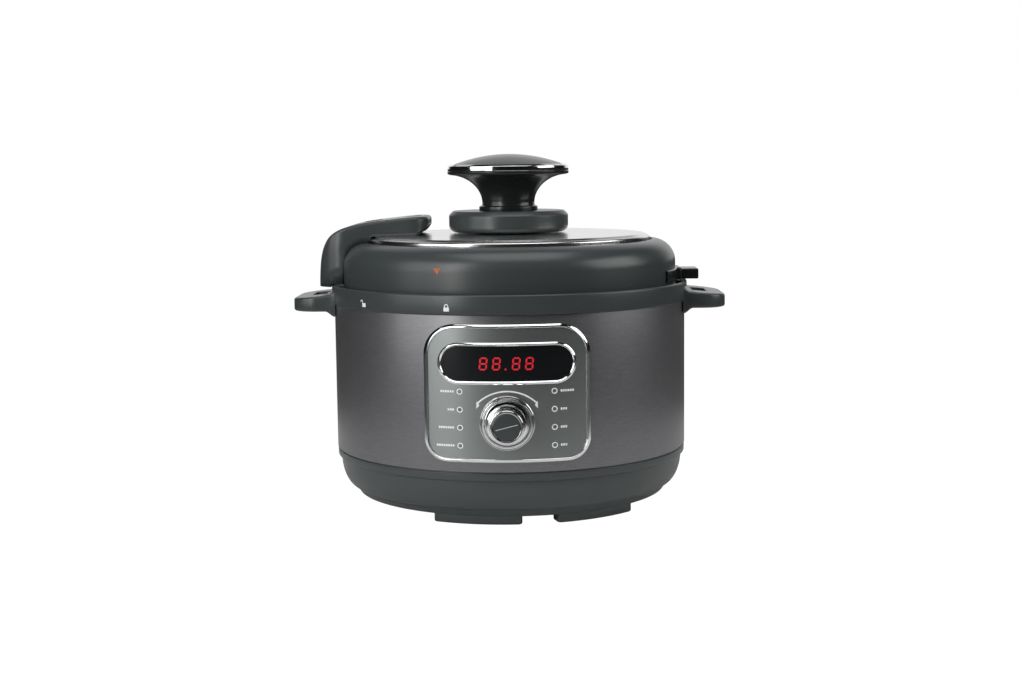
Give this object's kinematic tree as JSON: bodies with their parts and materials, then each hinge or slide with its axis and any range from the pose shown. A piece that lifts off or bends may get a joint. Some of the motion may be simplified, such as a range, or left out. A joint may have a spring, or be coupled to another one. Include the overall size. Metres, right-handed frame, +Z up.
{
  "type": "electric pressure cooker",
  "caption": "Round electric pressure cooker with a twist-and-lift lid, mushroom knob, steam hood, two side handles and a front panel with dial and display.",
  "frame": {"origin": "centre of the circle that the feet stand on, on the body axis", "axes": "+Z up along the body axis, -Y towards the control panel, X through the two handles, with the steam hood at -X"},
  "size_m": [0.354, 0.3147, 0.2831],
  "materials": {
    "housing_plastic": "satin grey moulded plastic",
    "dark_plastic": "near-black glossy moulded plastic",
    "pearl_paint": "dark pearl grey lacquer on steel",
    "chrome_trim": "polished chrome",
    "brushed_plate": "fine brushed",
    "pressed_steel": "drawn and wiped",
    "pot_alloy": "satin",
    "cast_alloy": "as cast",
    "silicone": "soft satin",
    "pad_rubber": "matt",
    "board": "green solder mask",
    "window": "smoked high gloss",
    "fascia": "satin metallic grey",
    "light_pipe": "frosted",
    "float_red": "gloss red",
    "black_plastic": "matt black"
  },
  "bodies": {
    "base": {"base_housing": "housing_plastic", "foot_pads": "pad_rubber", "base_cover": "black_plastic", "base_cover_screws": "pressed_steel", "body_sleeve": "pearl_paint", "rim_ring": "housing_plastic", "outer_pot": "pressed_steel", "inner_pot": "pot_alloy", "lock_collar": "pressed_steel", "collar_bolts": "pressed_steel", "heating_plate": "cast_alloy", "heating_element": "pressed_steel", "thermal_sensor": "pressed_steel", "sensor_spring": "pressed_steel", "pressure_switch": "black_plastic", "thermal_fuse": "black_plastic", "power_board": "board", "board_bracket": "pressed_steel", "power_inlet": "black_plastic", "inlet_pins": "pressed_steel", "panel_housing": "black_plastic", "control_board": "board", "display_module": "black_plastic", "encoder": "pressed_steel", "indicator_lights": "light_pipe", "panel_fascia": "fascia", "panel_frame": "chrome_trim", "display_bezel": "chrome_trim", "display_window": "window", "dial_bezel": "chrome_trim"},
    "dial": {"dial_knob": "chrome_trim", "encoder_shaft": "pressed_steel"},
    "dial_push": {"select_button": "dark_plastic"},
    "lid_slider": {"lid_catch": "black_plastic"},
    "lid": {"lid_cover": "housing_plastic", "lid_plate": "brushed_plate", "lid_spacer": "pressed_steel", "lid_screws": "pressed_steel", "inner_lid": "pressed_steel", "sealing_ring": "silicone", "gasket_rack": "pressed_steel", "vent_pipe": "pressed_steel", "anti_block_shield": "pressed_steel", "knob_collar": "housing_plastic", "knob_grip": "dark_plastic", "knob_trim_ring": "chrome_trim", "knob_cap": "dark_plastic", "knob_bolt": "pressed_steel", "lid_fin": "dark_plastic", "steam_hood": "housing_plastic", "hood_panel": "dark_plastic", "button_spring": "pressed_steel"},
    "steam_key": {"steam_button": "dark_plastic"},
    "release_lever": {"valve_lever": "pressed_steel"},
    "steam_valve": {"pressure_valve": "black_plastic"},
    "float": {"float_pin": "float_red", "float_seal": "silicone"}
  },
  "joints": [
    {"name": "lid_turn", "type": "hinge", "parent": "base", "child": "lid_slider", "pos_m": [0, 0, 0.1785], "axis": [0, 0, 1], "range_deg": [-28, 0]},
    {"name": "lid_lift", "type": "slide", "parent": "lid_slider", "child": "lid", "axis": [0, 0, 1], "range_m": [0, 0.12]},
    {"name": "steam_press", "type": "slide", "parent": "lid", "child": "steam_key", "axis": [0, 0, -1], "range_m": [0, 0.003], "stiffness_N_per_m": 400, "deforming": ["button_spring"]},
    {"name": "lever_rock", "type": "hinge", "parent": "lid", "child": "release_lever", "pos_m": [-0.1, 0, 0.217], "axis": [0, -1, 0], "range_deg": [0, 14.6]},
    {"name": "valve_lift", "type": "slide", "parent": "lid", "child": "steam_valve", "axis": [0, 0, 1], "range_m": [0, 0.0036]},
    {"name": "float_rise", "type": "slide", "parent": "lid", "child": "float", "axis": [0, 0, 1], "range_m": [0, 0.0045]},
    {"name": "dial_turn", "type": "hinge", "parent": "base", "child": "dial", "pos_m": [0, -0.146, 0.0827], "axis": [0, -1, 0], "continuous": true},
    {"name": "dial_press", "type": "slide", "parent": "dial", "child": "dial_push", "axis": [0, 1, 0], "range_m": [0, 0.0012], "stiffness_N_per_m": 600}
  ],
  "couplings": [
    {"joint": "lever_rock", "follows": "steam_press", "rad_per_m": 84.22},
    {"joint": "valve_lift", "follows": "steam_press", "ratio": 1.1666}
  ]
}
